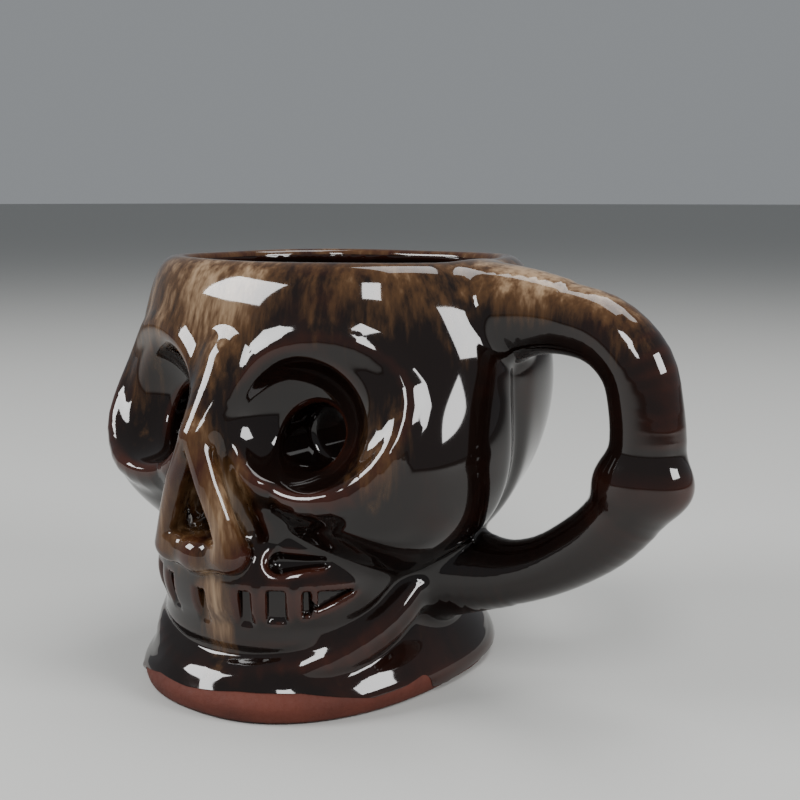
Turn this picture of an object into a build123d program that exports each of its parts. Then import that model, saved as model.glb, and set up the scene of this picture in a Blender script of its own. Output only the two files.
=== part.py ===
from build123d import *
import math
import os

os.makedirs("parts", exist_ok=True)

# Skull mug, slip-cast and glazed. Millimetres. The face looks along -Y, the handle stands on +X,
# +Z is up, and the origin is on the table below the axis of the mouth.
# Every form takes "grow": 0 gives the clay surface, GLAZE gives the outer skin of the glaze.

HEIGHT = 100.0          # table to lip
WALL = 5.0              # cast wall
FLOOR = 7.0             # thickness under the drink
GLAZE = 0.45            # fired coat
GLAZE_LINE = 7.0        # the foot is bare below this height
LIP_LOW = 97.5          # the upper fillet stops here, just under the rounded lip

# vessel stations: height, half width, reach to the face, reach to the back, squareness
STATIONS = (
    (0.0, 37.0, 50.2, 39.0, 2.3),
    (4.0, 38.0, 50.8, 40.0, 2.3),
    (8.0, 36.4, 48.0, 38.4, 2.3),
    (13.0, 33.8, 43.0, 35.8, 2.1),
    (20.0, 32.4, 38.5, 34.8, 2.1),
    (28.0, 33.6, 36.0, 36.2, 2.1),
    (36.0, 38.8, 36.5, 40.4, 2.1),
    (44.0, 44.4, 37.5, 46.2, 2.1),
    (52.0, 48.8, 38.7, 50.2, 2.1),
    (61.0, 51.8, 40.0, 52.6, 2.1),
    (70.0, 53.0, 41.0, 53.4, 2.1),
    (79.0, 52.4, 41.0, 52.4, 2.2),
    (88.0, 49.0, 39.2, 49.4, 2.3),
    (95.0, 45.0, 35.8, 46.0, 2.5),
    (HEIGHT, 41.4, 31.5, 42.6, 2.6),
)

TEMPLE_AT, TEMPLE_R = (26.0, -10.5, 58.5), (27.5, 29.5, 26.3)     # cheek and temple bulge
MUZZLE_AT, MUZZLE_R = (0.0, -21.0, 26.0), (31.0, 26.0, 17.0)      # upper jaw
NOSE_TOP, NOSE_FOOT = (0.0, -41.5, 70.0, 3.6), (8.4, -46.6, 37.0, 4.6)    # x, y, z, radius
NOSE_TIP, NOSE_TIP_R = (0.0, -45.6, 35.6), 4.6                    # rounded lump under the nose pit
SOCKET_AT, SOCKET_R = (24.4, -45.0, 67.6), (18.2, 17.5, 16.0)     # orbit bowl
PIT_AT, PIT_R, PIT_DEEP = (19.8, -22.0, 62.0), 7.7, 9.0           # round blind pit in the orbit
NOSE_PIT_TOP, NOSE_PIT_BASE, NOSE_PIT_HALF, NOSE_PIT_BACK = 56.0, 39.5, 7.0, -40.0
JAW_PATH = ((0.0, -43.3, 9.4), (13.5, -39.8, 10.0), (22.0, -31.8, 11.5), (27.0, -21.8, 15.0),
            (29.6, -15.0, 19.5), (30.4, -10.5, 25.0))
JAW_R = 5.7
FOSSA_AT, FOSSA_R = (18.0, -42.0, 34.4), (7.6, 5.4, 2.6)          # hollow over the eye tooth
MOUTH_LOW, MOUTH_HIGH, MOUTH_DEEP = 19.6, 28.6, 2.8
TOOTH_GAPS = ((0.0, 1.8), (22.0, 3.4), (36.0, 4.8), (49.6, 2.8), (63.0, 8.6))    # degrees round, width

HANDLE_Y = 2.0
# handle stations: x, z, radius, from the upper root to the lower root
BONE = (
    (43.0, 88.0, 9.6), (52.0, 89.0, 8.6), (63.5, 88.3, 7.4), (74.5, 85.4, 7.2), (81.0, 79.0, 7.3),
    (83.3, 70.5, 7.3), (83.9, 61.5, 7.6), (82.2, 53.0, 7.9), (76.4, 44.0, 7.3), (68.3, 37.2, 6.8),
    (59.5, 32.0, 6.5), (50.5, 28.9, 7.0), (40.0, 27.4, 8.2), (31.0, 27.0, 9.0),
)
ELBOW_AT, ELBOW_R = (83.2, 54.4), (10.4, 8.8, 7.6)                # the knuckle at the elbow


def ring(z, half, front, back, square, grow=0.0):
    """Closed section of the vessel at height z: a super-ellipse with its own reach to each side."""
    points = []
    for i in range(40):
        a = 2 * math.pi * i / 40
        c, s = math.cos(a), math.sin(a)
        k = (abs(c) ** square + abs(s) ** square) ** (-1 / square)
        reach = (back if s > 0 else front) + grow
        points.append(Vector((half + grow) * k * c, reach * k * s, z))
    return Face(Wire([Edge.make_spline(points, periodic=True)]))


def vessel(grow=0.0, low=0.0, high=HEIGHT):
    """Cranium, neck and foot as one smooth loft."""
    faces = []
    for z, a, f, b, n in STATIONS:
        if z == 0.0:
            z = min(low, 0.0)
        if z == HEIGHT:
            z = high
        faces.append(ring(z, a, f, b, n, grow))
    return Solid(loft(faces).wrapped)


def egg(at, radii, grow=0.0, side=1):
    """Ellipsoid; side -1 mirrors it to the other half of the face."""
    rx, ry, rz = (r + grow for r in radii)
    return Pos(side * at[0], at[1], at[2]) * scale(Sphere(1.0), by=(rx, ry, rz))


def jaw(grow=0.0):
    """Raised round ridge of the mandible, from ear to ear round the chin."""
    r = JAW_R + grow
    pts = [Vector(-x, y, z) for x, y, z in reversed(JAW_PATH[1:])] + [Vector(*p) for p in JAW_PATH]
    path = Wire([Edge.make_spline(pts)])
    tube = sweep(Plane(path @ 0, z_dir=path % 0) * Circle(r), path=path)
    for end in (pts[0], pts[-1]):
        tube = tube + Pos(end.X, end.Y, end.Z) * Sphere(r)
    return tube


def hollows(grow=0.0):
    """What is sunk into the face. They shrink as the skin grows."""
    cut = None
    for side in (-1, 1):
        bowl = egg(SOCKET_AT, SOCKET_R, -grow, side)
        r = PIT_R - grow
        pit = Pos(side * PIT_AT[0], PIT_AT[1] + grow * -1.0, PIT_AT[2]) * Rot(90, 0, 0) * Cylinder(
            r, PIT_DEEP + 6.0, align=(Align.CENTER, Align.CENTER, Align.MIN))
        fossa = egg(FOSSA_AT, FOSSA_R, -grow, side)
        both = bowl + pit + fossa
        cut = both if cut is None else cut + both
    half, top, base = NOSE_PIT_HALF - grow, NOSE_PIT_TOP - 2 * grow, NOSE_PIT_BASE + grow
    tri = Plane.XZ.offset(-(NOSE_PIT_BACK - grow)) * Polygon((-half, base), (half, base), (0, top), align=None)
    cut = cut + extrude(tri, 16.0)
    return cut


def nose_leg(grow=0.0, side=1):
    """Tapered round bar from the bridge to the side of the nose, with round ends."""
    a = Vector(side * NOSE_TOP[0], *NOSE_TOP[1:3])
    b = Vector(side * NOSE_FOOT[0], *NOSE_FOOT[1:3])
    leg = Solid.make_cone(NOSE_TOP[3] + grow, NOSE_FOOT[3] + grow, (b - a).length,
                          plane=Plane(origin=a, z_dir=b - a))
    return leg + Pos(a.X, a.Y, a.Z) * Sphere(NOSE_TOP[3] + grow) + Pos(b.X, b.Y, b.Z) * Sphere(NOSE_FOOT[3] + grow)


def tooth_windows(grow=0.0):
    """Recesses between the teeth, cut square to the curve of the jaw."""
    cut = None
    for angle, width in TOOTH_GAPS:
        for side in ((1,) if angle == 0 else (-1, 1)):
            a = math.radians(angle) * side
            x, y = MUZZLE_R[0] * math.sin(a), MUZZLE_AT[1] - MUZZLE_R[1] * math.cos(a)
            turn = math.degrees(math.atan2(x / MUZZLE_R[0] ** 2, -(y - MUZZLE_AT[1]) / MUZZLE_R[1] ** 2))
            box = Pos(x, y, (MOUTH_LOW + MOUTH_HIGH) / 2) * Rot(0, 0, turn) * Box(
                width - 2 * grow, 2 * (MOUTH_DEEP - grow), MOUTH_HIGH - MOUTH_LOW - 2 * grow)
            cut = box if cut is None else cut + box
    return cut


def outside(grow=0.0):
    """The whole modelled skull, solid, before the inside is poured out."""
    form = vessel(grow)
    for side in (-1, 1):
        form = form + egg(TEMPLE_AT, TEMPLE_R, grow, side)
        form = form + nose_leg(grow, side)
    form = form + Pos(*NOSE_TIP) * Sphere(NOSE_TIP_R + grow)
    form = form + egg(MUZZLE_AT, MUZZLE_R, grow) + jaw(grow)
    form = form - hollows(grow) - tooth_windows(grow)
    return form & (Pos(0, 0, HEIGHT / 2) * Box(300, 300, HEIGHT))


def inside(grow=0.0):
    """The drinking space: the vessel less its wall, kept clear of the pits by a full wall."""
    room = vessel(-WALL + grow, high=HEIGHT)
    room = room & (Pos(0, 0, FLOOR - grow) * Box(300, 300, HEIGHT, align=(Align.CENTER, Align.CENTER, Align.MIN)))
    for side in (-1, 1):
        room = room - egg(SOCKET_AT, SOCKET_R, WALL - 1.0 - grow, side)
        back = PIT_AT[1] + WALL - grow
        room = room - Pos(side * PIT_AT[0], back, PIT_AT[2]) * Rot(90, 0, 0) * Cylinder(
            PIT_R + WALL - 1.0 - grow, 30.0, align=(Align.CENTER, Align.CENTER, Align.MIN))
    return room


def bone(grow=0.0):
    """Arm-bone handle: a loft of rounds along the bend, with the knuckle at the elbow."""
    line = Edge.make_spline([Vector(x, HANDLE_Y, z) for x, z, _ in BONE])
    rounds = []
    for x, z, r in BONE:
        at = line.param_at_point(Vector(x, HANDLE_Y, z))
        along = line.tangent_at(at)
        rounds.append(Plane(origin=(x, HANDLE_Y, z), x_dir=(0, 1, 0), z_dir=along) * Circle(r + grow))
    arm = loft(rounds)
    knuckle = Pos(ELBOW_AT[0], HANDLE_Y, ELBOW_AT[1]) * scale(
        Sphere(1.0), by=(ELBOW_R[0] + grow, ELBOW_R[1] + grow, ELBOW_R[2] + grow))
    return arm + knuckle


def collar(x, z, r_in, r_out, reach, lean, grow=0.0):
    """Luting fillet where the handle meets the head: a cone that dips into the bone."""
    at = Plane(origin=(x, HANDLE_Y, z), x_dir=(0, 1, 0), z_dir=Vector(1, 0, lean).normalized())
    return Solid.make_cone(r_in + grow, r_out + grow, reach, plane=at)


def upper_collar(grow=0.0):
    cone = collar(38.0, 87.5, 15.5, 4.5, 24.0, 0.10, grow)
    return cone & (Pos(50, 0, LIP_LOW - grow) * Box(60, 60, 60, align=(Align.CENTER, Align.CENTER, Align.MAX)))


def lower_collar(grow=0.0):
    return collar(27.0, 27.2, 15.0, 4.5, 22.0, 0.04, grow)


def above(z):
    return Pos(0, 0, z) * Box(300, 300, 300, align=(Align.CENTER, Align.CENTER, Align.MIN))


def skull_body():
    return SKULL - CUP


def handle():
    return bone() - SKULL


def upper_slip_joint():
    return upper_collar() - SKULL - bone()


def lower_slip_joint():
    return lower_collar() - SKULL - bone()


def body_glaze():
    """Outer coat, from the foot line up to the lip, open where the handle stands."""
    coat = (outside(GLAZE) & above(GLAZE_LINE)) - SKULL
    return coat - bone(GLAZE) - upper_collar(GLAZE) - lower_collar(GLAZE)


def liner_glaze():
    """Coat on the inside of the cup."""
    return CUP - inside(-GLAZE)


def handle_glaze():
    """One coat over the bone and both luting fillets."""
    coat = bone(GLAZE) + upper_collar(GLAZE) + lower_collar(GLAZE)
    return coat - SKULL - bone() - upper_collar() - lower_collar()


SKULL = outside()
CUP = inside()

NODES = {
    "skull_body": skull_body,
    "handle": handle,
    "upper_slip_joint": upper_slip_joint,
    "lower_slip_joint": lower_slip_joint,
    "body_glaze": body_glaze,
    "liner_glaze": liner_glaze,
    "handle_glaze": handle_glaze,
}

for name, make in NODES.items():
    shape = make()
    solids = sorted(shape.solids(), key=lambda s: -s.volume)
    keep = [s for s in solids if s.volume > 0.02 * solids[0].volume]
    print(name, len(solids), "solids", [round(s.volume, 1) for s in solids[:5]], shape.is_valid)
    export_step(Compound(keep) if len(keep) > 1 else keep[0], f"parts/{name}.step")
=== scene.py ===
import math

import bpy
import numpy as np
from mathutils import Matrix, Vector


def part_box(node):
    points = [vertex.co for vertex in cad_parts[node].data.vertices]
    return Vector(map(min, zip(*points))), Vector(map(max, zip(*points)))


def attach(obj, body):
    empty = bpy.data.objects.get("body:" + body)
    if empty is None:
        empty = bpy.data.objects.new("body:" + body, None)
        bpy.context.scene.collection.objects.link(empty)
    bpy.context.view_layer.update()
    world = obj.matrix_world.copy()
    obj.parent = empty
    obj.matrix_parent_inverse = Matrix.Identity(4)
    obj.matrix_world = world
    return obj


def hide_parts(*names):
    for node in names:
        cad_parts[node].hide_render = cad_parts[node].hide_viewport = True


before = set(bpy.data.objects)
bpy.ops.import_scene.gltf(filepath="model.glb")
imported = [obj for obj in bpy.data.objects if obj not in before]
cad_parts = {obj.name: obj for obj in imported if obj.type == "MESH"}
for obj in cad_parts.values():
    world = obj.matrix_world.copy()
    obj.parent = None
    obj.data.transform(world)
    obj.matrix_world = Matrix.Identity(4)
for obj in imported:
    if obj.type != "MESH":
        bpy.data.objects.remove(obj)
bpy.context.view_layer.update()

# Skull mug. The forms are worked out in millimetres as one smooth clay surface, then cut into its
# coats of glaze and its bare clay. The face looks along -Y and the handle stands on +X.
# Every form is a function that gives the distance of points from its surface, negative inside.

HEIGHT = 1000.0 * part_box("skull_body")[1].z     # table to lip

COARSE, FINE = ((1.15, 0.68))     # spacing of the modelling lattice
GLAZE = 0.45            # thickness of the fired coat
UNDERLAP = 0.05         # how far the coat reaches into the clay, so no gap shows
WALL = 5.0              # cast wall
FLOOR = 7.0             # thickness under the drink
PIT_WALL = WALL - 1.0   # clay left round each eye pit and orbit

# vessel stations: height, half width, reach to the face, reach to the back, squareness
STATIONS = (
    (0.0, 37.0, 50.2, 39.0, 2.3),
    (4.0, 38.0, 50.8, 40.0, 2.3),
    (8.0, 36.4, 48.0, 38.4, 2.3),
    (13.0, 33.8, 43.0, 35.8, 2.1),
    (20.0, 32.4, 38.5, 34.8, 2.1),
    (28.0, 33.6, 36.0, 36.2, 2.1),
    (36.0, 38.8, 36.5, 40.4, 2.1),
    (44.0, 44.4, 37.5, 46.2, 2.1),
    (52.0, 48.8, 38.7, 50.2, 2.1),
    (61.0, 51.8, 40.0, 52.6, 2.1),
    (70.0, 53.0, 40.4, 53.4, 2.1),
    (79.0, 52.4, 38.6, 52.4, 2.1),
    (88.0, 49.0, 36.6, 49.4, 2.2),
    (95.0, 45.0, 34.2, 46.0, 2.4),
    (HEIGHT, 41.4, 31.0, 42.6, 2.6),
)
# blended forms of the head: centre and half sizes, or rows of (x, y, z, radius)
TEMPLE_AT, TEMPLE_R = (26.0, -10.5, 56.0), (27.5, 29.5, 24.0)
MUZZLE_AT, MUZZLE_R = (0.0, -20.0, 28.0), (30.6, 26.6, 19.0)
LIP_AT, LIP_R = (0.0, -20.5, 17.0), (29.2, 23.8, 9.4)
NOSE_AT, NOSE_R = (0.0, -36.0, 50.0), (9.8, 10.2, 19.0)
BRIDGE = ((0.0, -36.8, 77.0, 4.0), (0.0, -40.6, 70.0, 4.4), (0.0, -44.6, 64.5, 3.8))
NOSE_LEG = ((0.3, -47.0, 62.0, 2.8), (4.5, -47.6, 52.5, 2.6), (7.6, -46.8, 44.5, 2.7), (8.6, -45.6, 37.2, 4.2))
NOSE_TIP, NOSE_TIP_R = (0.0, -45.2, 36.0), (6.4, 5.0, 4.4)
CHEEK_EDGE = ((9.4, -39.0, 60.5, 1.8), (11.6, -39.8, 53.5, 2.2), (12.6, -38.6, 47.0, 2.2), (13.6, -36.6, 41.0, 1.6))
JAW_R = 5.1
JAW_PATH = (
    (0.0, -43.4, 5.8, JAW_R), (12.0, -40.8, 7.2, JAW_R), (20.6, -34.0, 10.4, JAW_R), (26.6, -25.0, 14.8, JAW_R),
    (29.6, -16.5, 19.6, JAW_R), (30.6, -10.5, 24.2, JAW_R),
)
TEMPLE_GROOVE_Y, TEMPLE_GROOVE_DEEP = 1.0, 1.5                # soft upright groove behind each temple

# what is sunk into the head
SOCKET_AT, SOCKET_R = (24.4, -45.0, 67.6), (18.2, 17.5, 16.0)
PIT_AT, PIT_R, PIT_LONG = (19.8, -22.0, 62.0), 7.7, 40.0
NOSE_PIT_TOP, NOSE_PIT_BASE, NOSE_PIT_HALF, NOSE_PIT_BACK = 57.4, 40.0, 7.6, -39.0
FOSSA = ((17.0, -38.9, 35.0, 2.7), (24.2, -32.9, 35.0, 0.9))
MOUTH_DEEP = 2.6
# gaps between the teeth: degrees round from the middle, width, low and high edge
TOOTH_GAPS = (
    (1.0, 1.8, 19.8, 28.2), (21.9, 3.5, 20.6, 29.2), (36.0, 5.0, 21.8, 29.6), (49.6, 2.6, 23.2, 29.4),
    (63.4, 8.8, 24.2, 29.4),
)
LAST_GAP = 60.0                                               # past this angle a gap runs out to a point

# handle stations: x, z, radius, from the upper root to the lower root
HANDLE_Y = 2.0
BONE = (
    (43.0, 88.0, 9.6), (52.0, 89.0, 8.6), (63.5, 88.3, 7.4), (74.5, 85.4, 7.2), (81.0, 79.0, 7.3),
    (83.3, 70.5, 7.3), (83.9, 61.5, 7.6), (82.2, 53.0, 7.9), (76.4, 44.0, 7.3), (68.3, 37.2, 6.8),
    (59.5, 32.0, 6.5), (50.5, 28.9, 7.0), (40.0, 27.4, 8.2), (31.0, 27.0, 9.0),
)
ELBOW_AT, ELBOW_R = (83.2, 54.4), (10.4, 8.8, 7.6)
# luting fillets: x, z, wide radius, narrow radius, reach, lean
UPPER_FILLET = (38.0, 87.5, 15.5, 4.5, 24.0, 0.10)
LOWER_FILLET = (27.0, 27.2, 15.0, 4.5, 22.0, 0.04)


# ---- small tools for modelling with distances -------------------------------------------------

def soft_union(a, b, k):
    """Join two forms with a blend about k wide."""
    h = np.maximum(k - np.abs(a - b), 0.0) / k
    return np.minimum(a, b) - h * h * k * 0.25


def soft_meet(a, b, k):
    """What two forms share, with the edge rounded about k wide."""
    return -soft_union(-a, -b, k)


def spline_table(rows, step=0.25):
    """Catmull-Rom through rows of (key, values...), sampled finely."""
    rows = np.array(rows, float)
    keys = rows[:, 0]
    slopes = np.gradient(rows[:, 1:], keys, axis=0)
    fine = np.arange(keys[0], keys[-1] + step, step).clip(keys[0], keys[-1])
    i = np.clip(np.searchsorted(keys, fine, side="right") - 1, 0, len(keys) - 2)
    span = (keys[i + 1] - keys[i])[:, None]
    t = ((fine - keys[i])[:, None]) / span
    a, b = rows[i, 1:], rows[i + 1, 1:]
    value = ((2 * t**3 - 3 * t**2 + 1) * a + (t**3 - 2 * t**2 + t) * span * slopes[i]
             + (-2 * t**3 + 3 * t**2) * b + (t**3 - t**2) * span * slopes[i + 1])
    return fine, value


def curve_points(rows, count):
    """Even samples along a smooth line through rows of (x, y, z, radius)."""
    rows = np.array(rows, float)
    keys = np.concatenate([[0.0], np.cumsum(np.linalg.norm(np.diff(rows[:, :3], axis=0), axis=1))])
    fine, value = spline_table(np.column_stack([keys, rows]), keys[-1] / (count * 4))
    pick = np.linspace(0, len(fine) - 1, count).astype(int)
    return value[pick]


def ramp(x, a, b):
    """Smooth rise from 0 at a to 1 at b."""
    t = np.clip((x - a) / (b - a), 0.0, 1.0)
    return t * t * (3 - 2 * t)


def mirrored(p):
    """The same points with x made positive, for forms that come in pairs."""
    m = p.copy()
    m[:, 0] = np.abs(m[:, 0])
    return m


def egg(p, at, radii):
    """Ellipsoid."""
    q = (p - np.array(at)) / np.array(radii)
    k0 = np.sqrt((q * q).sum(1)) + 1e-9
    k1 = np.sqrt(((q / np.array(radii)) ** 2).sum(1)) + 1e-9
    return k0 * (k0 - 1.0) / k1


def tube(p, rows, near=14.0):
    """Distance to a round bar through rows of (x, y, z, radius); far points are only roughed in."""
    rows = np.array(rows, float)
    low, high = rows[:, :3].min(0), rows[:, :3].max(0)
    off = np.maximum(np.maximum(low - p, p - high), 0.0)
    far = np.sqrt((off * off).sum(1)) - rows[:, 3].max()
    out = np.maximum(far, near * 0.7)
    pick = far < near
    q = p[pick]
    best = np.full(len(q), 1e9)
    for a, b in zip(rows[:-1], rows[1:]):
        ab = b[:3] - a[:3]
        t = np.clip(((q - a[:3]) @ ab) / (ab @ ab), 0.0, 1.0)
        r = a[3] + (b[3] - a[3]) * t
        d = q - a[:3] - t[:, None] * ab
        best = np.minimum(best, np.sqrt((d * d).sum(1)) - r)
    out[pick] = best
    return out


STATION_Z, STATION_V = spline_table(STATIONS)


def vessel(p, inset=0.0):
    """Cranium, neck and foot, one super-ellipse at each height; inset moves the surface inwards."""
    x, y, z = p.T
    zc = np.clip(z, 0.0, HEIGHT)
    half, face, back, square = (np.interp(zc, STATION_Z, STATION_V[:, i]) for i in range(4))
    slope = np.interp(zc, STATION_Z, np.gradient(STATION_V[:, 0], STATION_Z))
    reach = np.where(y > 0, back, face) - inset
    half = half - inset
    k = ((np.abs(x) / half) ** square + (np.abs(y) / reach) ** square) ** (1.0 / square) + 1e-6
    radius = np.sqrt(x * x + y * y) / k
    radius = np.where(k < 0.05, np.minimum(half, reach), radius)
    return (k - 1.0) * radius / np.sqrt(1.0 + slope * slope)


# ---- the skull -------------------------------------------------------------------------------

JAW = curve_points([(-x, y, z, r) for x, y, z, r in reversed(JAW_PATH[1:])] + list(JAW_PATH), 26)
BONE_LINE = curve_points([(x, HANDLE_Y, z, r) for x, z, r in BONE], 48)


def face_mass(p):
    """Clay built up on the head, before the nose is added and anything is sunk into it."""
    m = mirrored(p)
    d = soft_union(vessel(p), egg(m, TEMPLE_AT, TEMPLE_R), 7.0)
    side = ramp(m[:, 0], 30.0, 44.0) * ramp(p[:, 2], 33.0, 42.0) * (1.0 - ramp(p[:, 2], 82.0, 94.0))
    d = d + TEMPLE_GROOVE_DEEP * side * np.exp(-((p[:, 1] - TEMPLE_GROOVE_Y) / 3.6) ** 2)
    mouth = soft_union(egg(p, MUZZLE_AT, MUZZLE_R), egg(p, LIP_AT, LIP_R), 3.0)
    d = soft_union(d, mouth, 3.0)
    d = soft_union(d, tube(m, CHEEK_EDGE, 10.0), 3.4)
    return soft_union(d, tube(p, JAW), 2.0)


def rim_ring():
    """Bead round the opening of the orbit, laid on the face and thicker along the lower lid."""
    t = np.linspace(0, 2 * math.pi, 33)
    pts = np.column_stack([SOCKET_AT[0] + (SOCKET_R[0] + 0.6) * np.cos(t), np.full(len(t), -62.0),
                           SOCKET_AT[2] + (SOCKET_R[2] + 0.6) * np.sin(t)])
    for _ in range(40):
        pts[:, 1] += np.clip(face_mass(pts), -2.0, 4.0) * 0.8
    lower = np.clip(-np.sin(t + 0.15), 0.0, 1.0)
    return np.column_stack([pts + [0.0, 1.2, 0.0], 0.5 + 3.0 * lower])


ORBIT_RIM = rim_ring()


def tooth_gap(m, angle, width, low, high):
    """One sunk window between two teeth, square to the curve of the jaw."""
    a = math.radians(angle)
    cx, cy = MUZZLE_R[0] * math.sin(a), MUZZLE_AT[1] - MUZZLE_R[1] * math.cos(a)
    turn = math.atan2(cx / MUZZLE_R[0] ** 2, -(cy - MUZZLE_AT[1]) / MUZZLE_R[1] ** 2)
    c, s = math.cos(turn), math.sin(turn)
    across = (m[:, 0] - cx) * c + (m[:, 1] - cy) * s
    into = -(m[:, 0] - cx) * s + (m[:, 1] - cy) * c
    middle, tall = (low + high) / 2, (high - low) / 2
    if angle > LAST_GAP:
        along = np.clip((across + width / 2) / width, 0.0, 1.0)
        tall, middle = tall * (1.0 - 0.8 * along), middle + 1.6 * along
    window = soft_meet(np.abs(across) - width / 2, np.abs(m[:, 2] - middle) - tall, 1.2)
    return soft_meet(window, np.abs(into) - MOUTH_DEEP, 1.2)


def skull(p):
    """The modelled head, solid, before the inside is poured out."""
    y, z = p[:, 1], p[:, 2]
    m = mirrored(p)
    d = face_mass(p)
    d = soft_union(d, tube(m, ORBIT_RIM, 10.0), 5.0)
    d = soft_union(d, egg(p, NOSE_AT, NOSE_R), 4.0)
    d = soft_union(d, tube(p, BRIDGE, 12.0), 6.0)
    leg = soft_union(tube(m, NOSE_LEG, 12.0), egg(p, NOSE_TIP, NOSE_TIP_R), 3.6)
    d = soft_union(d, leg, 2.0)
    # orbits
    soft = 2.0 + 6.0 * ramp(m[:, 0], 28.0, 42.0)
    d = soft_meet(d, -egg(m, SOCKET_AT, SOCKET_R), soft)
    rr = np.hypot(m[:, 0] - PIT_AT[0], z - PIT_AT[2])
    pit = soft_meet(rr - PIT_R, np.abs(y - (PIT_AT[1] - PIT_LONG / 2)) - PIT_LONG / 2, 3.0)
    d = soft_meet(d, -pit, 1.6)
    # nose pit
    side = NOSE_PIT_HALF / (NOSE_PIT_TOP - NOSE_PIT_BASE)
    flank = (m[:, 0] - side * (NOSE_PIT_TOP - z)) / math.hypot(1.0, side)
    wedge = soft_meet(soft_meet(flank, NOSE_PIT_BASE - z, 2.0), y - NOSE_PIT_BACK, 3.0)
    d = soft_meet(d, -wedge, 1.6)
    # hollows over the eye teeth
    d = soft_meet(d, -tube(m, FOSSA, 10.0), 1.6)
    for gap in TOOTH_GAPS:
        d = soft_meet(d, -tooth_gap(m, *gap), 1.0)
    return d


def cup(p):
    """The drinking space, with a full wall left behind each pit."""
    m = mirrored(p)
    d = vessel(p, WALL)
    d = soft_meet(d, FLOOR - p[:, 2], 8.0)
    d = soft_meet(d, -egg(m, SOCKET_AT, [r + PIT_WALL for r in SOCKET_R]), 4.0)
    rr = np.hypot(m[:, 0] - PIT_AT[0], p[:, 2] - PIT_AT[2]) - (PIT_R + PIT_WALL)
    back = soft_meet(rr, p[:, 1] - (PIT_AT[1] + WALL), 5.0)
    return soft_meet(d, -back, 4.0)


def cone(p, x, z, r0, r1, reach, lean):
    """Luting fillet: a cone in the plane of the handle, leaning up as it reaches outwards."""
    axis = np.array((1.0, 0.0, lean)) / math.hypot(1.0, lean)
    q = p - np.array((x, HANDLE_Y, z))
    t = q @ axis
    r = np.sqrt(np.maximum((q * q).sum(1) - t * t, 0.0))
    side = (r - (r0 + (r1 - r0) * t / reach)) / math.hypot(1.0, (r1 - r0) / reach)
    return np.maximum(side, np.maximum(-t, t - reach))


def arm(p):
    """Arm-bone handle with its elbow knuckle and both luting fillets."""
    knuckle = egg(p, (ELBOW_AT[0], HANDLE_Y, ELBOW_AT[1]), ELBOW_R)
    d = soft_union(tube(p, BONE_LINE), knuckle, 3.0)
    d = soft_union(d, cone(p, *UPPER_FILLET), 5.0)
    return soft_union(d, cone(p, *LOWER_FILLET), 5.0)


def poured(d, p):
    """A solid form with its lip levelled and rounded, the cup poured out and the foot flat."""
    d = soft_meet(d, p[:, 2] - HEIGHT, 3.2)
    return soft_meet(soft_meet(d, -cup(p), 4.2), -p[:, 2], 1.6)


def clay(p):
    return poured(soft_union(skull(p), arm(p), 3.0), p)


def bare_casting(p):
    return poured(skull(p), p)


# ---- turning distances into meshes -----------------------------------------------------------

def spaced(low, high, coarse, fine, *bands):
    """Lattice positions along one axis, closer together inside the bands."""
    at, out = low, [low]
    while at < high:
        close = any(a <= at <= b for a, b in bands)
        at += fine if close else coarse
        out.append(at)
    return np.array(out)


def lattice_values(field, axes):
    """Field on a lattice; only blocks near the surface are worked out finely."""
    block = 4
    shape = [len(a) for a in axes]
    starts = [np.arange(0, n, block) for n in shape]
    mids = [np.array([a[i:i + block].mean() for i in st]) for a, st in zip(axes, starts)]
    centres = np.stack(np.meshgrid(*mids, indexing="ij"), -1).reshape(-1, 3)
    rough = field(centres).reshape([len(m) for m in mids])
    half = [np.array([np.ptp(a[i:i + block + 1]) / 2 for i in st]) for a, st in zip(axes, starts)]
    wide, deep, tall = np.meshgrid(*half, indexing="ij")
    reach = np.sqrt(wide ** 2 + deep ** 2 + tall ** 2)
    close = np.abs(rough) < reach * 1.5 + 0.5

    def spread(a):
        return a.repeat(block, 0).repeat(block, 1).repeat(block, 2)[:shape[0], :shape[1], :shape[2]]

    out, near = spread(rough).copy(), spread(close)
    idx = np.argwhere(near)
    pts = np.stack([axes[k][idx[:, k]] for k in range(3)], 1)
    out[near] = np.concatenate([field(part) for part in np.array_split(pts, max(1, len(pts) // 150000))])
    return out


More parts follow.
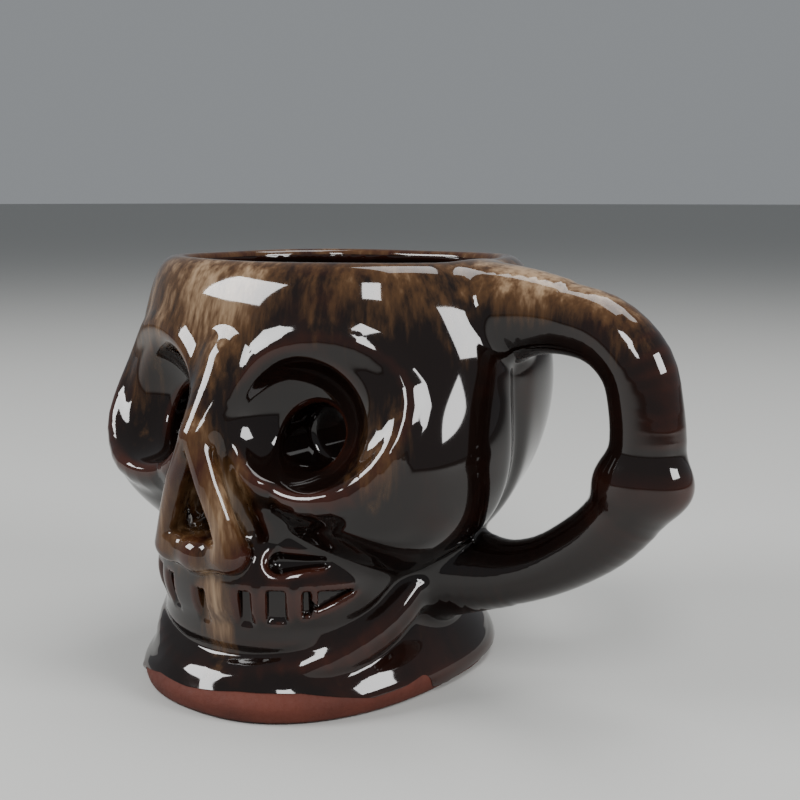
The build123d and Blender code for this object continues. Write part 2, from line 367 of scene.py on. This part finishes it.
def surface_net(field, axes):
    """Closed quad mesh of field = 0 by the surface-net rule."""
    shape = [len(a) for a in axes]
    val = lattice_values(field, axes)
    neg = val < 0
    cell = np.zeros([n - 1 for n in shape], np.int8)
    for c in np.ndindex(2, 2, 2):
        cell += neg[c[0]:shape[0] - 1 + c[0], c[1]:shape[1] - 1 + c[1], c[2]:shape[2] - 1 + c[2]]
    live = np.argwhere((cell > 0) & (cell < 8))
    total, count = np.zeros((len(live), 3)), np.zeros(len(live))
    for axis in range(3):
        others = [a for a in range(3) if a != axis]
        for o in np.ndindex(2, 2):
            c0 = np.zeros(3, int)
            c0[others[0]], c0[others[1]] = o
            c1 = c0.copy()
            c1[axis] = 1
            a, b = val[tuple((live + c0).T)], val[tuple((live + c1).T)]
            cross = (a < 0) != (b < 0)
            t = np.where(cross, a / np.where(cross, a - b, 1.0), 0.0)
            total += cross[:, None] * (c0 + t[:, None] * (c1 - c0))
            count += cross
    spot = live + total / count[:, None]
    verts = np.stack([np.interp(spot[:, k], np.arange(shape[k]), axes[k]) for k in range(3)], 1)
    ids = -np.ones(cell.shape, np.int64)
    ids[tuple(live.T)] = np.arange(len(live))
    quads = []
    for axis in range(3):
        b, c = (axis + 1) % 3, (axis + 2) % 3
        lo = [slice(None)] * 3
        hi = [slice(None)] * 3
        lo[axis], hi[axis] = slice(0, -1), slice(1, None)
        e = np.argwhere(neg[tuple(lo)] != neg[tuple(hi)])
        e = e[(e[:, b] > 0) & (e[:, c] > 0) & (e[:, b] < shape[b] - 1) & (e[:, c] < shape[c] - 1)]
        db, dc = np.eye(3, dtype=int)[b], np.eye(3, dtype=int)[c]
        quad = np.stack([ids[tuple((e - db - dc).T)], ids[tuple((e - dc).T)], ids[tuple(e.T)],
                         ids[tuple((e - db).T)]], 1)
        flip = ~neg[tuple(e.T)]
        quad[flip] = quad[flip][:, ::-1]
        quads.append(quad)
    return verts, np.concatenate(quads)


def gradient(field, p, eps=0.15):
    """Slope of a field by central differences; it points out of the form."""
    g = np.empty_like(p)
    for a in range(3):
        d = np.zeros(3)
        d[a] = eps
        g[:, a] = (field(p + d) - field(p - d)) / (2 * eps)
    return g


def settle(field, verts, quads, rounds=3):
    """Pull onto the surface, and even out the mesh along it."""
    edges = np.concatenate([quads[:, [0, 1]], quads[:, [1, 2]], quads[:, [2, 3]], quads[:, [3, 0]]])
    for i in range(rounds):
        total, count = np.zeros_like(verts), np.zeros(len(verts))
        for a, b in ((0, 1), (1, 0)):
            for k in range(3):
                total[:, k] += np.bincount(edges[:, a], verts[edges[:, b], k], len(verts))
            count += np.bincount(edges[:, a], minlength=len(verts))
        mean = total / count[:, None]
        g = gradient(field, verts)
        n = g / np.linalg.norm(g, axis=1)[:, None]
        move = mean - verts
        move -= (move * n).sum(1)[:, None] * n
        verts = verts + 0.6 * move
        for _ in range(2 if i == rounds - 1 else 1):
            g = gradient(field, verts)
            off = np.clip(field(verts), -1.0, 1.0) / np.maximum((g * g).sum(1), 0.3)
            verts = verts - off[:, None] * g
    g = gradient(field, verts)
    return verts, g / np.linalg.norm(g, axis=1)[:, None]


def triangles(quads):
    """Each quad as two triangles."""
    return np.concatenate([quads[:, [0, 1, 2]], quads[:, [0, 2, 3]]])


def clip(verts, tris, keep, extra):
    """Keep the side where keep > 0, with a clean edge on keep = 0. extra is carried along."""
    inside = keep > 0
    full = inside[tris].all(1)
    part = inside[tris].any(1) & ~full
    cut = tris[part]
    made, new_v, new_e, out = {}, [], [], []
    for tri in cut:
        loop = []
        for i in range(3):
            a, b = tri[i], tri[(i + 1) % 3]
            if inside[a]:
                loop.append(a)
            if inside[a] != inside[b]:
                key = (a, b) if a < b else (b, a)
                if key not in made:
                    t = keep[key[0]] / (keep[key[0]] - keep[key[1]])
                    t = min(max(t, 0.02), 0.98)
                    made[key] = len(verts) + len(new_v)
                    new_v.append(verts[key[0]] * (1 - t) + verts[key[1]] * t)
                    new_e.append(extra[key[0]] * (1 - t) + extra[key[1]] * t)
                loop.append(made[key])
        for i in range(1, len(loop) - 1):
            out.append((loop[0], loop[i], loop[i + 1]))
    if new_v:
        verts = np.vstack([verts, new_v])
        extra = np.vstack([extra, new_e])
        tris = np.vstack([tris[full], out])
    else:
        tris = tris[full]
    used, tris = np.unique(tris, return_inverse=True)
    return verts[used], tris.reshape(-1, 3), extra[used]


def coat(verts, tris, normals, outer, inner):
    """Closed shell over an open sheet: outer and inner are distances along the normals."""
    n = len(verts)
    v = np.vstack([verts + normals * outer[:, None], verts - normals * inner])
    e = np.concatenate([tris[:, [0, 1]], tris[:, [1, 2]], tris[:, [2, 0]]])
    rim = e[~np.isin(e[:, 0] * n + e[:, 1], e[:, 1] * n + e[:, 0])]      # edges with one face only
    wall = np.concatenate([np.column_stack([rim[:, 1], rim[:, 0], rim[:, 0] + n]),
                           np.column_stack([rim[:, 1], rim[:, 0] + n, rim[:, 1] + n])])
    return v, np.concatenate([tris, tris[:, ::-1] + n, wall])


def build(name, verts, faces, attributes=None, normals=None):
    """Mesh object at the origin, in metres, smooth, with one value per corner point."""
    mesh = bpy.data.meshes.new(name)
    size = faces.shape[1]
    mesh.vertices.add(len(verts))
    mesh.vertices.foreach_set("co", (verts * 0.001).astype(np.float32).ravel())
    mesh.loops.add(len(faces) * size)
    mesh.loops.foreach_set("vertex_index", faces.astype(np.int32).ravel())
    mesh.polygons.add(len(faces))
    mesh.polygons.foreach_set("loop_start", np.arange(0, len(faces) * size, size, dtype=np.int32))
    mesh.update(calc_edges=True)
    mesh.polygons.foreach_set("use_smooth", np.ones(len(faces), bool))
    for key, value in (attributes or {}).items():
        mesh.attributes.new(key, "FLOAT", "POINT").data.foreach_set("value", value.astype(np.float32))
    mesh.validate()
    mesh.update()
    if normals is not None:
        mesh.normals_split_custom_set_from_vertices(normals.astype(np.float32))
    obj = bpy.data.objects.new(name, mesh)
    bpy.context.scene.collection.objects.link(obj)
    return obj


def unit(v):
    """Rows of v at length one."""
    return v / np.maximum(np.linalg.norm(v, axis=1), 1e-9)[:, None]


# ---- the pieces ------------------------------------------------------------------------------

def finish_piece(obj, slot_name, *nodes):
    """Fasten a piece to the root and let it stand in for CAD nodes."""
    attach(obj, "root")
    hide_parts(*nodes)
    return obj


FOOT_LINE = (   # degrees round from the chin, height of the glaze's edge
    (-180, 3.5), (-150, 2.6), (-120, 3.6), (-95, 5.2), (-70, 3.8), (-50, 3.0), (-36, 0.9), (-31, 1.0), (-24, 4.2),
    (-14, 5.8), (-2, 5.6), (7, 6.3), (14, 7.0), (23, 7.1), (31, 7.0), (40, 5.8), (51, 4.2), (63, 4.6), (71, 5.6),
    (73.5, 5.0), (76, 1.6), (84, 1.0), (92, 1.5), (107, 2.0), (123, 1.8), (150, 3.0), (180, 3.5),
)
LIP_LINE = HEIGHT - 1.6                         # the liner's edge, just inside the lip
SKIN = 0.06                                     # thickness the coat keeps right down at its edge
ROLL, ROLL_AT, ROLL_WIDTH = 0.30, 1.1, 0.8      # the glaze gathers in a bead above its edge
ROLL_END = 6.0                                  # above this the coat is even
FACE_BREAK = -16.0                              # y where the outer coat is parted into face and crown


def above_foot_line(p):
    """Height above the edge where the glaze stops, a slow wave round the foot."""
    line_at, line_height = np.array(FOOT_LINE, float).T
    return p[:, 2] - np.interp(np.degrees(np.arctan2(p[:, 0], -p[:, 1])), line_at, line_height)


def in_cup(p):
    """Above nought on the cup's own wall and floor, below the lip."""
    return np.minimum(LIP_LINE - p[:, 2], np.where(np.abs(cup(p)) < 1.5, 3.0, -3.0))


def proudness(points, point_normals, step=1.6):
    """How far a point stands out from its surroundings; the glaze is thin and red on such edges."""
    tangent = unit(np.cross(point_normals, np.array((0.31, 0.22, 0.92))))
    total = np.zeros(len(points))
    for t in (tangent, np.cross(point_normals, tangent)):
        total += clay(points + t * step) + clay(points - t * step)
    return total / (step * step)


def glaze_piece(name, sheet, slot_name, node):
    """Closed coat of glaze over an open sheet of the clay surface, with a rolled edge at the foot."""
    points, faces, carried = sheet
    n = unit(carried[:, :3])
    line = above_foot_line(points)
    bead = ROLL * np.exp(-((line - ROLL_AT) / ROLL_WIDTH) ** 2)
    rolled = (GLAZE + bead) * ramp(line, -0.6, 0.9) + SKIN
    thick = np.where(line < ROLL_END, rolled, GLAZE + SKIN)
    shell_points, shell_faces = coat(points, faces, n, thick, UNDERLAP)
    piece = build(name, shell_points, shell_faces, {"proud": np.tile(carried[:, 3], 2)}, np.vstack([n, -n]))
    return finish_piece(piece, slot_name, node)


FACE_X, FACE_Y = (-36.0, 37.0), (-56.0, -16.0)  # where the lattice is fine, across and from the front
AXES = (spaced(-58.0, 98.0, COARSE, FINE, FACE_X), spaced(-56.0, 57.0, COARSE, FINE, FACE_Y),
        spaced(-3.0, HEIGHT + 3.0, COARSE, FINE, (8.0, 86.0), (95.0, 102.0)))
verts, quads = surface_net(clay, AXES)
verts, normals = settle(clay, verts, quads)
handle_side = skull(verts) - arm(verts)         # positive on the handle
carried = np.column_stack([normals, proudness(verts, normals), handle_side])

arm_sheet = clip(verts, triangles(quads), handle_side, carried)
head_v, head_t, head_x = clip(verts, triangles(quads), -handle_side, carried)
out_v, out_t, out_x = clip(head_v, head_t, -in_cup(head_v), head_x)
out_v, out_t, out_x = clip(out_v, out_t, above_foot_line(out_v), out_x)
face_sheet = clip(out_v, out_t, FACE_BREAK - out_v[:, 1], out_x)
crown_sheet = clip(out_v, out_t, out_v[:, 1] - FACE_BREAK, out_x)

# the bare casting is mostly out of sight, so its lattice is coarser; the liner lies on it
CAST_COARSE, CAST_FINE = 1.7, 1.3
CAST_AXES = (spaced(-58.0, 58.0, CAST_COARSE, CAST_FINE, FACE_X),
             spaced(-56.0, 57.0, CAST_COARSE, CAST_FINE, FACE_Y),
             spaced(-3.0, HEIGHT + 3.0, CAST_COARSE, 1.0, (-3.0, 12.0)))
cast_v, cast_q = surface_net(bare_casting, CAST_AXES)
cast_v, cast_n = settle(bare_casting, cast_v, cast_q, 2)
liner_sheet = clip(cast_v, triangles(cast_q), in_cup(cast_v),
                   np.column_stack([cast_n, proudness(cast_v, cast_n)]))

casting = finish_piece(build("clay_casting", cast_v, cast_q, normals=cast_n), "terracotta_body", "skull_body")
face_glaze = glaze_piece("face_glaze_coat", face_sheet, "outer_glaze", "body_glaze")
crown_glaze = glaze_piece("crown_glaze_coat", crown_sheet, "outer_glaze", "body_glaze")
liner = glaze_piece("liner_glaze_coat", liner_sheet, "liner_glaze", "liner_glaze")
arm_glaze = glaze_piece("handle_glaze_coat", arm_sheet, "handle_glaze", "handle_glaze")


# ---- finishes --------------------------------------------------------------------------------

class Finish:
    """A material being wired up."""

    def __init__(self, name):
        self.material = bpy.data.materials.new(name)
        self.material.use_nodes = True
        self.tree = self.material.node_tree
        self.shader = self.tree.nodes["Principled BSDF"]
        self.place = self.node("ShaderNodeTexCoord").outputs["Object"]

    def node(self, kind, **settings):
        n = self.tree.nodes.new(kind)
        for key, value in settings.items():
            setattr(n, key, value)
        return n

    def feed(self, socket, source):
        if isinstance(source, (int, float, tuple)):
            socket.default_value = source
        else:
            self.tree.links.new(source, socket)

    def attribute(self, name):
        return self.node("ShaderNodeAttribute", attribute_name=name).outputs["Fac"]

    def math(self, operation, a, b=0.0):
        n = self.node("ShaderNodeMath", operation=operation)
        self.feed(n.inputs[0], a)
        self.feed(n.inputs[1], b)
        return n.outputs[0]

    def range(self, value, low, high, to_low=0.0, to_high=1.0):
        n = self.node("ShaderNodeMapRange", interpolation_type="SMOOTHSTEP")
        for i, x in enumerate((value, low, high, to_low, to_high)):
            self.feed(n.inputs[i], x)
        return n.outputs[0]

    def noise(self, scale, detail=4.0, stretch=(1.0, 1.0, 1.0), rough=0.55, warp=0.0):
        m = self.node("ShaderNodeMapping")
        m.inputs["Scale"].default_value = stretch
        self.feed(m.inputs["Vector"], self.place)
        n = self.node("ShaderNodeTexNoise")
        self.feed(n.inputs["Vector"], m.outputs[0])
        n.inputs["Scale"].default_value = scale
        n.inputs["Detail"].default_value = detail
        n.inputs["Roughness"].default_value = rough
        n.inputs["Distortion"].default_value = warp
        return n.outputs["Fac"]

    def mix(self, factor, a, b):
        n = self.node("ShaderNodeMix", data_type="RGBA")
        self.feed(n.inputs["Factor"], factor)
        self.feed(n.inputs[6], a)
        self.feed(n.inputs[7], b)
        return n.outputs[2]

    def bump(self, height, distance, strength=1.0):
        n = self.node("ShaderNodeBump")
        n.inputs["Strength"].default_value = strength
        n.inputs["Distance"].default_value = distance
        self.feed(n.inputs["Height"], height)
        return n.outputs[0]


# fired colours of the glaze, thick to thin, then the tan glaze laid over it
BLACK_BROWN = (0.0052, 0.0026, 0.0020, 1.0)
RED_BROWN = (0.050, 0.012, 0.006, 1.0)
AMBER = (0.075, 0.036, 0.014, 1.0)
TAN = (0.30, 0.205, 0.125, 1.0)

# where the tan glaze was laid on thickly: centre in metres, half sizes, strength
TAN_PATCHES = (
    ((-0.014, -0.044, 0.086), (0.026, 0.022, 0.028), 0.27),      # brow over the nose
    ((0.0085, -0.047, 0.046), (0.0065, 0.010, 0.018), 0.44),     # right side of the nose
    ((-0.006, -0.047, 0.044), (0.010, 0.010, 0.018), 0.36),      # left side of the nose
    ((0.0, -0.047, 0.062), (0.007, 0.010, 0.010), 0.34),         # tip of the nose bones
    ((0.004, -0.049, 0.024), (0.0065, 0.014, 0.017), 0.42),      # drip down the front teeth
    ((-0.036, -0.032, 0.076), (0.014, 0.020, 0.026), 0.25),      # outer wall of the right orbit
    ((0.040, -0.034, 0.064), (0.009, 0.012, 0.018), 0.28),       # outer wall of the left orbit
    ((0.062, 0.002, 0.095), (0.026, 0.016, 0.009), 0.26),        # top of the arm
)


def tan_coverage(f):
    """How thickly the tan glaze lies: highest in the patches, nothing away from them."""
    total = None
    for centre, half, strength in TAN_PATCHES:
        m = f.node("ShaderNodeMapping", vector_type="TEXTURE")
        m.inputs["Location"].default_value = centre
        m.inputs["Scale"].default_value = half
        f.feed(m.inputs["Vector"], f.place)
        length = f.node("ShaderNodeVectorMath", operation="LENGTH")
        f.feed(length.inputs[0], m.outputs[0])
        part = f.range(length.outputs["Value"], 0.35, 1.25, strength, 0.0)
        total = part if total is None else f.math("MAXIMUM", total, part)
    return total


def glaze_finish(name, streaks):
    """Glossy brown glaze, reddish where thin; streaks adds the runs of tan glaze."""
    f = Finish(name)
    s = f.shader
    apart = f.node("ShaderNodeSeparateXYZ")
    f.feed(apart.inputs[0], f.place)
    high = apart.outputs[2]
    cloud = f.noise(38.0, 5.0, (1, 1, 1), 0.6, 0.4)
    edge = f.math("ADD", f.attribute("proud"), f.math("MULTIPLY", f.math("SUBTRACT", cloud, 0.5), 0.16))
    thin = f.range(edge, 0.07, 0.40)
    colour = f.mix(f.math("MULTIPLY", thin, 0.50), BLACK_BROWN, RED_BROWN)
    colour = f.mix(f.range(cloud, 0.50, 0.72, 0.0, 0.18), colour, RED_BROWN)
    if streaks:
        fine = f.noise(520.0, 3.0, (1, 1, 0.09), 0.6)
        broad = f.noise(80.0, 4.0, (1, 1, 0.12), 0.6, 0.3)
        run = f.math("ADD", f.math("MULTIPLY", fine, 0.52), f.math("MULTIPLY", broad, 0.68))
        fall = f.math("ADD", f.range(high, 0.068, 0.101, 0.0, 0.33), tan_coverage(f))
        laid = f.math("ADD", run, fall)
        colour = f.mix(f.range(laid, 0.76, 1.08, 0.0, 0.85), colour, AMBER)
        colour = f.mix(f.range(laid, 0.98, 1.28, 0.0, 0.88), colour, TAN)
    f.feed(s.inputs["Base Color"], colour)
    s.inputs["Roughness"].default_value = 0.05
    s.inputs["IOR"].default_value = 1.50
    f.feed(s.inputs["Normal"], f.bump(f.noise(45.0, 2.0), 0.0004, 0.22))
    return f.material


def clay_finish(name):
    """Dull fired red clay with a fine grain."""
    f = Finish(name)
    s = f.shader
    grain = f.noise(900.0, 6.0, (1, 1, 1), 0.7)
    patch = f.noise(60.0, 4.0)
    colour = f.mix(f.range(patch, 0.3, 0.7), (0.058, 0.0130, 0.0075, 1.0), (0.092, 0.0215, 0.0125, 1.0))
    colour = f.mix(f.range(grain, 0.55, 0.8, 0.0, 0.5), colour, (0.036, 0.009, 0.006, 1.0))
    f.feed(s.inputs["Base Color"], colour)
    f.feed(s.inputs["Roughness"], f.range(grain, 0.2, 0.8, 0.62, 0.85))
    s.inputs["Specular IOR Level"].default_value = 0.3
    f.feed(s.inputs["Normal"], f.bump(grain, 0.0003, 0.5))
    return f.material


outer_finish = glaze_finish("streaked_brown_glaze", True)
liner_finish = glaze_finish("dark_liner_glaze", False)
clay_mat = clay_finish("bare_red_clay")
for piece, finish in ((face_glaze, outer_finish), (crown_glaze, outer_finish), (arm_glaze, outer_finish),
                      (liner, liner_finish), (casting, clay_mat)):
    piece.data.materials.append(finish)
for node in ("handle", "upper_slip_joint", "lower_slip_joint"):
    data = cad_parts[node].data
    data.materials.clear()
    data.materials.append(clay_mat)


# ---- floor, light and camera -----------------------------------------------------------------

def plane(name, size, z):
    """Square of staging, not part of the object."""
    mesh = bpy.data.meshes.new(name)
    s = size / 2
    mesh.from_pydata([(-s, -s, z), (s, -s, z), (s, s, z), (-s, s, z)], [], [(0, 1, 2, 3)])
    obj = bpy.data.objects.new(name, mesh)
    bpy.context.scene.collection.objects.link(obj)
    return obj


floor = plane("studio_floor", 60.0, 0.0)
f = Finish("studio_pale_grey")
f.shader.inputs["Base Color"].default_value = (0.44, 0.44, 0.425, 1.0)
f.shader.inputs["Roughness"].default_value = 0.75
floor.data.materials.append(f.material)

world = bpy.data.worlds.new("studio")
bpy.context.scene.world = world
world.use_nodes = True
world.node_tree.nodes["Background"].inputs[0].default_value = (0.80, 0.84, 0.88, 1.0)
world.node_tree.nodes["Background"].inputs[1].default_value = 0.33


def softbox(name, place, aim, size_x, size_y, power):
    """Rectangular lamp at place, turned to face aim."""
    data = bpy.data.lights.new(name, "AREA")
    data.shape = "RECTANGLE"
    data.size, data.size_y = size_x, size_y
    data.energy = power
    lamp = bpy.data.objects.new(name, data)
    bpy.context.scene.collection.objects.link(lamp)
    lamp.location = place
    lamp.rotation_euler = (Vector(aim) - Vector(place)).to_track_quat("-Z", "Y").to_euler()


softbox("window_left", (-0.62, -0.62, 0.58), (0, 0, 0.06), 0.42, 0.36, 10.0)
softbox("window_front", (0.40, -0.62, 0.66), (0, 0, 0.06), 0.20, 0.30, 4.5)
softbox("sky_above", (0.1, 0.25, 1.0), (0, 0, 0.05), 0.6, 0.6, 6.5)
softbox("window_right", (0.95, 0.16, 0.50), (0, 0, 0.06), 0.40, 0.34, 9.0)

azimuth, distance, eye = math.radians(40.0), 0.295, 0.1134          # round from the front, away, up
pitch, yaw = math.atan(1 / 6), math.atan(17 / 300)                  # down, and aside
camera_data = bpy.data.cameras.new("view")
camera = bpy.data.objects.new("view", camera_data)
bpy.context.scene.collection.objects.link(camera)
bpy.context.scene.camera = camera
camera_data.sensor_width = 36.0
camera_data.lens = 54.0
camera_data.clip_start, camera_data.clip_end = 0.01, 50.0
camera.location = (math.sin(azimuth) * distance, -math.cos(azimuth) * distance, eye)
camera.rotation_euler = (math.pi / 2 - pitch, 0.0, azimuth - yaw)
